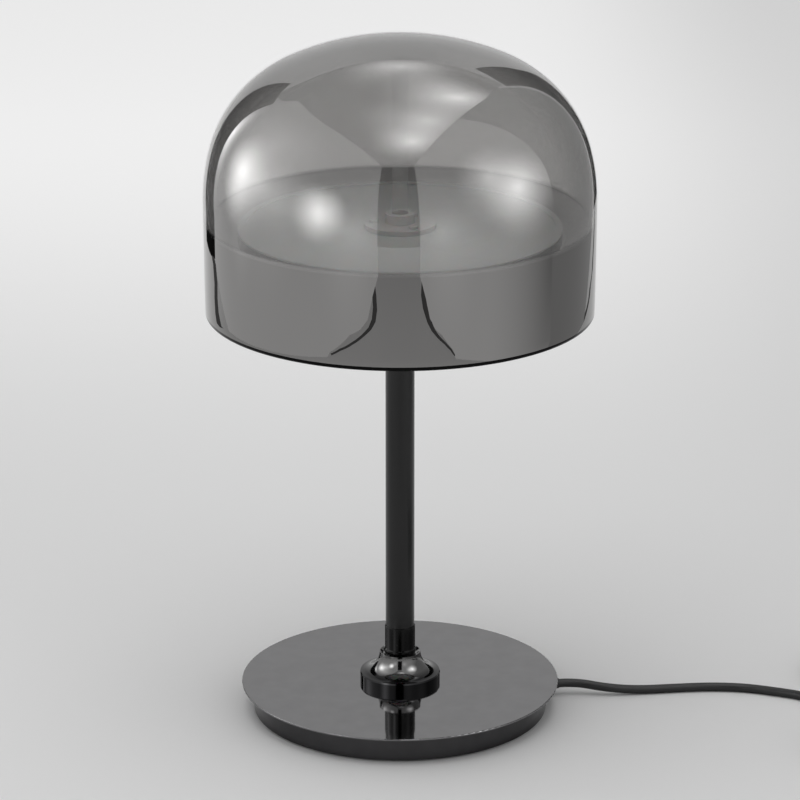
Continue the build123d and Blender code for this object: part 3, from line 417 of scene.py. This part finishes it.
bead_height = rim_height + wall / 2
drop = widest_height - bead_height
inset = widest_radius - rim_radius
lower_arc = (drop ** 2 + inset ** 2) / (2 * inset)
lower_turn = asin(drop / lower_arc)


def step_in(centre, radius, angle):
    """The centre of the next, tighter arc, which meets this one at an angle and shares its slope."""
    return centre[0] + radius * cos(angle), centre[1] + radius * sin(angle)


lower_centre = (widest_radius - lower_arc, widest_height)
upper_centre = (widest_radius - upper_arc, widest_height)
shoulder_centre = step_in(upper_centre, upper_arc - shoulder_arc, upper_turn)
crown_start = upper_turn + shoulder_turn
crown_arc = (shoulder_centre[0] + shoulder_arc * cos(crown_start)) / cos(crown_start)
crown_centre = step_in(shoulder_centre, shoulder_arc - crown_arc, crown_start)
crown_turn = pi / 2 - crown_start
wall_steps = 14
shoulder_steps = 40
crown_steps = 22
arcs = [(lower_centre, lower_turn, wall_steps), (upper_centre, upper_turn, wall_steps),
        (shoulder_centre, shoulder_turn, shoulder_steps), (crown_centre, crown_turn, crown_steps)]
crown_top = crown_centre[1] + crown_arc

# %% The shade
bead_steps = 12
steps_around = 240
on_axis = 1e-5
shade_shape, tip = start_outline(0.0, crown_top - wall)
for centre, turn, steps in reversed(arcs):
    tip = arc_on(shade_shape, tip, centre, -turn, steps)
tip = arc_on(shade_shape, tip, (rim_radius - wall / 2, bead_height), pi, bead_steps)
for centre, turn, steps in arcs:
    tip = arc_on(shade_shape, tip, centre, turn, steps)
for vert in shade_shape.verts:
    if abs(vert.co.x) < on_axis:
        vert.co.x = 0.0
turned(shade_shape, steps_around)
shade = new_piece("glass_dome", shade_shape, smoked_glass, "shade")
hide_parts("glass_shade")

# %% [markdown]
# ## The mains lead
# A table lamp has about 1.8 m of lead. Outside the base 0.21 m of it goes to the in-line switch, and only
# the first 0.16 m are in the picture. The rest is put away out of view: on from the switch, into a neat
# coil in two layers held by a tie, and down to the plug. Each stretch is one NURBS line with the same
# control points as the CAD route, so it bends smoothly. The coil's turns are more points of the same line:
# the corners of the polygon that its half turns touch.

# %% The lead's route
lead_radius = 0.00275
lead_run_points = [
    (0.100630, 0.016659, 0.0076), (0.111483, 0.018456, 0.0076), (0.130, 0.0156, 0.0050),
    (0.150, 0.0169, 0.0029), (0.174, 0.0204, 0.00275), (0.197, 0.0229, 0.00275), (0.219, 0.0212, 0.00275),
    (0.239, 0.0144, 0.00275), (0.256, 0.0072, 0.00275), (0.266, -0.003, 0.0030), (0.2722, -0.0145, 0.0049),
    (0.274, -0.026, 0.0065), (0.274, -0.037, 0.0065)]
lead_link_points = [
    (0.274, -0.101, 0.0065), (0.274, -0.1135, 0.0065), (0.277, -0.127, 0.0044), (0.2855, -0.1385, 0.00275),
    (0.2985, -0.1455, 0.00275), (0.3135, -0.1455, 0.00275), (0.327, -0.1385, 0.00275),
    (0.3365, -0.126, 0.00275), (0.3415, -0.107, 0.00275), (0.346, -0.084, 0.00275),
    (0.3492, -0.058, 0.00275), (0.3514, -0.031, 0.00275), (0.3518, -0.005, 0.00275)]
lead_tail_points = [
    (0.2976, -0.005, 0.0088), (0.3054, -0.0175, 0.0075), (0.309, -0.030, 0.00685), (0.309, -0.042, 0.00685)]

# %% The coil's points
coil_centre = (0.306, 0.048)
coil_start_angle = 10.0
coil_outer_radius = 0.0385
coil_pitch = 0.006
coil_low = 0.00345
coil_halves = 5
points_per_half = 8
corner_step = 180.0 / points_per_half
lead_in = 0.0055
lead_in_far = 0.022
lead_out_far = 0.013


def towards(angle):
    return Vector((cos(radians(angle)), sin(radians(angle)), 0.0))


def half_turn(points, start, angle, radius, rise=0.0):
    """Adds the corners round half a turn, and gives where it ends."""
    centre = start - towards(angle) * radius
    reach = radius / cos(radians(corner_step / 2))
    for corner in range(points_per_half):
        share = (corner + 0.5) / points_per_half
        outward = towards(angle + corner_step * (corner + 0.5)) * reach
        points.append(centre + outward + Vector((0, 0, rise * share)))
    return centre + towards(angle + corner_step * points_per_half) * radius + Vector((0, 0, rise))


# %% The coil's turns
angle = coil_start_angle
here = Vector((*coil_centre, coil_low)) + towards(angle) * coil_outer_radius
coil_in = here - towards(angle + 90) * lead_in
coil_ahead = coil_in - towards(angle + 90) * lead_in_far
coil_points = [coil_ahead, coil_in]
radius = coil_outer_radius
for half in range(coil_halves):
    here = half_turn(coil_points, here, angle, radius)
    angle += 180
    radius -= coil_pitch / 2
here = half_turn(coil_points, here, angle, radius, rise=coil_pitch)
angle += 180
climb_radius = radius
radius += coil_pitch / 4
for half in range(coil_halves):
    here = half_turn(coil_points, here, angle, radius)
    angle += 180
    radius = climb_radius + coil_pitch * (half + 2) / 2
exit_sweep = 30.0
exit_middle = here - towards(angle) * radius
exit_reach = radius / cos(radians(exit_sweep / 2))
coil_points.append(exit_middle + towards(angle + exit_sweep / 2) * exit_reach)
here = exit_middle + towards(angle + exit_sweep) * radius
angle += exit_sweep
coil_out = here + towards(angle + 90) * lead_in
coil_points += [coil_out, coil_out + towards(angle + 90) * lead_out_far]
print(f"coil: {len(coil_points)} points")
for end, place in (("in", coil_in), ("out", coil_out)):
    print(f"the coil's lead {end}: {[round(c, 4) for c in place]}")

# %% The lead as two smooth lines
line_order = 3
line_steps = 10
skin_facets = 6


def lead_line(name, points, *nodes):
    """A round lead along one NURBS line. The order and end points are set once the points are there."""
    data = bpy.data.curves.new(name, "CURVE")
    data.dimensions = "3D"
    spline = data.splines.new("NURBS")
    spline.points.add(len(points) - 1)
    for point, place in zip(spline.points, points):
        point.co = (*place, 1.0)
    spline.order_u = line_order
    spline.use_endpoint_u = True
    spline.resolution_u = line_steps
    data.resolution_u = line_steps
    data.bevel_depth = lead_radius
    data.bevel_resolution = skin_facets
    data.use_fill_caps = True
    data.materials.append(black_lead)
    lead = bpy.data.objects.new(name, data)
    bpy.context.scene.collection.objects.link(lead)
    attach(lead, "root")
    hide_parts(*nodes)
    print(f"{name}: {len(points)} control points")
    return lead


near_lead = lead_line("mains_lead_to_switch", lead_run_points, "lead_run")
coil_route = [tuple(place) for place in coil_points]
far_lead = lead_line("mains_lead_to_plug", lead_link_points + coil_route + lead_tail_points,
                     "lead_link", "lead_coil", "lead_tail")

# %% [markdown]
# ## A small white studio
# The glass and the black nickel show little of themselves: they show the room. The lamp stands on white
# paper, between tall bright sheets at both sides and under a ceiling sheet. Soft glows in the sheets stand
# for lamps behind them. The gap in front, where the camera is, and a gap at each side of the backdrop are
# hung with dark flags. Dark seams on the floor, near the feet of the sheets, draw the thin lines in the
# mirrored hem. All this is only for reflections: the camera doesn't see it, and it gives no light.

# %% Helpers for the studio
scene_collection = bpy.context.scene.collection


def flat_panel(name, corners, material):
    """A sheet through corner points, in a strip of four-sided faces."""
    shape = bmesh.new()
    rows = [[shape.verts.new(corner) for corner in pair] for pair in corners]
    for (a, b), (c, d) in zip(rows, rows[1:]):
        shape.faces.new((a, b, d, c))
    mesh = bpy.data.meshes.new(name)
    shape.to_mesh(mesh)
    shape.free()
    mesh.materials.append(material)
    panel = bpy.data.objects.new(name, mesh)
    scene_collection.objects.link(panel)
    return panel


def light_sheet(name, level, glows=()):
    """An emitting sheet with soft round glows, each a centre, three radii and how much it adds."""
    material = bpy.data.materials.new(name)
    material.use_nodes = True
    tree = material.node_tree
    tree.nodes.remove(tree.nodes["Principled BSDF"])
    lamp = node(material, "ShaderNodeEmission", Strength=level)
    place = node(material, "ShaderNodeTexCoord")
    below = None
    for centre, radii, strength in glows:
        mapping = node(material, "ShaderNodeMapping", Scale=[1 / r for r in radii],
                       Location=[-c / r for c, r in zip(centre, radii)])
        link(material, place, "Object", mapping, "Vector")
        fall = node(material, "ShaderNodeTexGradient", gradient_type="QUADRATIC_SPHERE")
        link(material, mapping, "Vector", fall, "Vector")
        glow = node(material, "ShaderNodeMath", operation="MULTIPLY_ADD")
        link(material, fall, "Fac", glow, 0)
        glow.inputs[1].default_value = strength
        glow.inputs[2].default_value = level
        if below is not None:
            link(material, below, 0, glow, 2)
        below = glow
    if below is not None:
        link(material, below, 0, lamp, "Strength")
    link(material, lamp, "Emission", tree.nodes["Material Output"], "Surface")
    return material


def leaning(low, high, top):
    """Corners of a sheet from its plan on the floor up to its plan at the top."""
    return [((*foot, 0.0), (*head, top)) for foot, head in zip(low, high)]


# %% Plans of the light sheets
sheet_top = 1.45
left_low = [(-0.235, -1.112), (-0.275, -1.012), (-0.295, -0.936), (-0.350, -0.880), (-0.426, -0.825),
            (-0.544, -0.680), (-0.720, -0.100), (-0.780, 0.350), (-0.780, 0.700)]
left_high = [(-0.265, -1.179), (-0.318, -1.030), (-0.355, -0.926), (-0.395, -0.812), (-0.440, -0.686),
             (-0.510, -0.487), (-0.680, -0.009), (-0.748, 0.350), (-0.790, 0.700)]
right_low = [(0.215, -1.112), (0.255, -1.017), (0.275, -0.940), (0.320, -0.890), (0.361, -0.857),
             (0.427, -0.772), (0.500, -0.450), (0.560, 0.000)]
right_high = [(0.206, -1.183), (0.242, -1.023), (0.263, -0.930), (0.285, -0.832), (0.312, -0.712),
              (0.352, -0.534), (0.412, -0.268), (0.472, 0.000)]
far_right_low = [(0.560, 0.000), (0.640, 0.560), (0.640, 0.980)]
far_right_high = [(0.472, 0.000), (0.598, 0.560), (0.640, 0.980)]
ceiling_plan = [((-0.265, -1.179), (0.206, -1.183)), ((-0.900, 0.612), (0.631, 0.702)),
                ((-1.100, 1.300), (0.700, 1.300))]

# %% Levels and glows of the light sheets
side_level = 0.80
far_right_level = 0.36
ceiling_level = 0.34
left_glows = [((-0.78, 0.14, 0.44), (0.34, 0.34, 0.38), 5.4), ((-0.49, -0.55, 0.39), (0.28, 0.28, 0.28), 8.4),
              ((-0.74, 0.00, 0.72), (0.80, 0.80, 0.75), 1.0), ((-0.70, -0.10, 0.42), (0.66, 0.66, 0.34), 2.0),
              ((-0.79, 0.66, 0.55), (0.22, 0.22, 0.45), 3.4), ((-0.42, -0.84, 0.28), (0.42, 0.42, 0.32), 0.8)]
right_glows = [((0.50, -0.21, 0.45), (0.30, 0.30, 0.28), 5.0), ((0.47, -0.36, 0.60), (0.34, 0.34, 0.36), 2.5),
               ((0.56, 0.00, 0.20), (0.50, 0.50, 0.60), -0.55),
               ((0.36, -0.84, 0.28), (0.42, 0.42, 0.32), 0.7)]
far_right_glows = [((0.50, 0.0, 0.70), (0.30, 0.30, 0.70), 0.1)]
ceiling_glows = [((0.12, -0.56, 1.45), (0.52, 0.52, 0.5), 3.8), ((0.22, -0.12, 1.45), (0.66, 0.66, 0.5), 2.8),
                 ((0.36, 0.46, 1.45), (0.55, 0.55, 0.5), 3.8), ((0.00, 1.05, 1.45), (0.45, 0.60, 0.5), 1.8)]

# %% The light sheets
left_sheet = flat_panel("left_light_sheet", leaning(left_low, left_high, sheet_top),
                        light_sheet("left_light", side_level, left_glows))
right_sheet = flat_panel("right_light_sheet", leaning(right_low, right_high, sheet_top),
                         light_sheet("right_light", side_level, right_glows))
far_right_sheet = flat_panel("far_right_sheet", leaning(far_right_low, far_right_high, sheet_top),
                             light_sheet("far_right_light", far_right_level, far_right_glows))
ceiling_sheet = flat_panel("ceiling_light_sheet",
                           [((*left, sheet_top), (*right, sheet_top)) for left, right in ceiling_plan],
                           light_sheet("ceiling_light", ceiling_level, ceiling_glows))
print("four light sheets stand round the lamp")

# %% The dark flags
cloth_level = 0.01
front_flag_half = 0.50
front_flag_y = -1.60
front_flag_top = 1.80
back_left_low = [(-0.78, 0.70), (-0.54, 0.93)]
back_left_high = [(-0.79, 0.70), (-0.52, 0.93)]
back_left_top = 1.07
back_right_plan = [(0.62, 1.02), (0.40, 1.20)]
back_right_top = 1.25

dark_cloth = light_sheet("dark_cloth", cloth_level)
front_flag = flat_panel("front_dark_flag", [((-front_flag_half, front_flag_y, height),
                                             (front_flag_half, front_flag_y, height))
                                            for height in (0.0, front_flag_top)], dark_cloth)
back_left_flag = flat_panel("back_left_dark_flag", leaning(back_left_low, back_left_high, back_left_top),
                            dark_cloth)
back_right_flag = flat_panel("back_right_dark_flag",
                             leaning(back_right_plan, back_right_plan, back_right_top), dark_cloth)
print("three dark flags hang in the gaps")

# %% The dark seams
seam_level = 0.10
seam_height = 0.0015
seam_cloth = light_sheet("seam_cloth", seam_level)


def dark_seam(name, plan, widths, across=(1.0, 0.0)):
    """A dark seam on the floor, which draws a thin line in the shade's mirrored hem."""
    return flat_panel(name, [((x - across[0] * wide / 2, y - across[1] * wide / 2, seam_height),
                              (x + across[0] * wide / 2, y + across[1] * wide / 2, seam_height))
                             for (x, y), wide in zip(plan, widths)], seam_cloth)


front_seam_widths = (0.045, 0.045, 0.045, 0.042, 0.036, 0.026, 0.018, 0.014, 0.011, 0.008)
left_front_plan = [
    (-0.291, -1.114), (-0.288, -1.082), (-0.258, -1.034), (-0.237, -0.987), (-0.240, -0.945),
    (-0.267, -0.910), (-0.318, -0.869), (-0.396, -0.806), (-0.476, -0.736), (-0.530, -0.677)]
right_front_plan = [
    (0.259, -1.122), (0.250, -1.093), (0.232, -1.042), (0.239, -0.993), (0.264, -0.938),
    (0.290, -0.899), (0.325, -0.863), (0.372, -0.820), (0.410, -0.778), (0.431, -0.745)]
left_back_plan = [
    (-0.685, 0.455), (-0.676, 0.520), (-0.672, 0.568), (-0.691, 0.611), (-0.729, 0.636), (-0.745, 0.700),
    (-0.690, 0.850)]
right_back_plan = [
    (0.665, 0.536), (0.641, 0.579), (0.600, 0.650), (0.570, 0.707), (0.560, 0.756), (0.520, 0.830),
    (0.520, 1.080)]
left_back_widths = [0.085] * len(left_back_plan)
right_back_widths = [0.055] * len(right_back_plan)

left_front_seam = dark_seam("left_front_seam", left_front_plan, front_seam_widths)
right_front_seam = dark_seam("right_front_seam", right_front_plan, front_seam_widths)
left_back_seam = dark_seam("left_back_seam", left_back_plan, left_back_widths, across=(0.74, 0.67))
right_back_seam = dark_seam("right_back_seam", right_back_plan, right_back_widths, across=(0.74, -0.67))
print("four seams lie on the floor")

# %% What the sheets, flags and seams do
for mirrored in (left_sheet, right_sheet, far_right_sheet, ceiling_sheet, front_flag, back_left_flag,
                 back_right_flag, left_front_seam, right_front_seam, left_back_seam, right_back_seam):
    mirrored.visible_camera = False
    mirrored.visible_diffuse = False
    mirrored.visible_transmission = False
    mirrored.visible_shadow = False
print("sheets, flags and seams show in reflections only")

# %% [markdown]
# ## The light itself
# A broad soft lamp overhead lights the lamp and the paper evenly, and the world fills the shadows. The
# smoked glass keeps much of that light from the disc, so a small fill lamp hangs inside the shade, over the
# disc. None of them is mirrored as a shape: what the glass mirrors are the sheets.

# %% The lamps of the studio
overhead_size = (1.3, 1.1)
overhead_energy = 8.9
overhead_place = (-0.15, -0.10, 1.40)
fill_size = (0.15, 0.15)
fill_energy = 0.032
fill_place = (0.0, -0.06, 0.375)


def soft_lamp(name, shape, size, energy, place):
    """An area lamp that faces down. It lights, and no ray sees it as a shape."""
    data = bpy.data.lights.new(name, "AREA")
    data.shape = shape
    data.size = size[0]
    data.size_y = size[1]
    data.energy = energy
    lamp = bpy.data.objects.new(name, data)
    lamp.location = place
    lamp.visible_glossy = False
    lamp.visible_camera = False
    lamp.visible_transmission = False
    scene_collection.objects.link(lamp)
    print(f"{name}: {energy} W at {place}")


soft_lamp("overhead_soft_lamp", "RECTANGLE", overhead_size, overhead_energy, overhead_place)
soft_lamp("disc_fill_lamp", "DISK", fill_size, fill_energy, fill_place)

# %% [markdown]
# ## The paper and the world
# The paper is a plain pale floor. Far behind the lamp it gets brighter, as a lit backdrop does, and less so
# at the right. That brightness is added for camera, glossy and transmission rays alike, so the glass and
# the metal show the same background as the picture, and no light is added to the lamp.

# %% The floor
paper_colour = (0.80, 0.80, 0.80)
paper_roughness = 0.75
paper_gloss = 0.1
paper_reach = 6.0
glow_start = 0.15
glow_end = 1.45
glow_level = 0.41
fall_start = 0.10
fall_end = 0.40
fall_level = 0.55

paper = bpy.data.materials.new("white_paper")
paper.use_nodes = True
paper_shader = paper.node_tree.nodes["Principled BSDF"]
paper_shader.inputs["Base Color"].default_value = (*paper_colour, 1.0)
paper_shader.inputs["Roughness"].default_value = paper_roughness
paper_shader.inputs["Specular IOR Level"].default_value = paper_gloss
paper_shader.inputs["Emission Color"].default_value = (1.0, 1.0, 1.0, 1.0)


def seen_or_mirrored(material_tree):
    """1 for camera, glossy and transmission rays, and 0 for the rest."""
    paths = material_tree.nodes.new("ShaderNodeLightPath")
    either = material_tree.nodes.new("ShaderNodeMath")
    either.operation = "MAXIMUM"
    material_tree.links.new(paths.outputs["Is Camera Ray"], either.inputs[0])
    material_tree.links.new(paths.outputs["Is Glossy Ray"], either.inputs[1])
    any_of = material_tree.nodes.new("ShaderNodeMath")
    any_of.operation = "MAXIMUM"
    material_tree.links.new(either.outputs[0], any_of.inputs[0])
    material_tree.links.new(paths.outputs["Is Transmission Ray"], any_of.inputs[1])
    return any_of.outputs[0]


# %% The paper's far glow
paper_axes = object_axes(paper)[1]
far_glow = ramp_over(paper, paper_axes, "Y", glow_start, glow_end, 0.0, glow_level)
right_fall = ramp_over(paper, paper_axes, "X", fall_start, fall_end, 1.0, fall_level)
glow_here = node(paper, "ShaderNodeMath", operation="MULTIPLY")
link(paper, far_glow, "Result", glow_here, 0)
link(paper, right_fall, "Result", glow_here, 1)
glow_shown = node(paper, "ShaderNodeMath", operation="MULTIPLY")
link(paper, glow_here, 0, glow_shown, 0)
paper.node_tree.links.new(seen_or_mirrored(paper.node_tree), glow_shown.inputs[1])
link(paper, glow_shown, 0, paper_shader, "Emission Strength")
flat_panel("paper_floor", [((-paper_reach, y, 0.0), (paper_reach, y, 0.0))
                           for y in (-paper_reach, paper_reach)], paper)
print("the paper floor is laid")

# %% The world
world_light = 0.455
world_shown = 0.66
world = bpy.data.worlds.new("studio_world")
bpy.context.scene.world = world
world.use_nodes = True
world_tree = world.node_tree
sky = world_tree.nodes["Background"]
sky.inputs["Color"].default_value = (1.0, 1.0, 1.0, 1.0)
sky_level = world_tree.nodes.new("ShaderNodeMapRange")
sky_level.inputs["To Min"].default_value = world_light
sky_level.inputs["To Max"].default_value = world_shown
world_tree.links.new(seen_or_mirrored(world_tree), sky_level.inputs["Value"])
world_tree.links.new(sky_level.outputs["Result"], sky.inputs["Strength"])
print("the world is set")
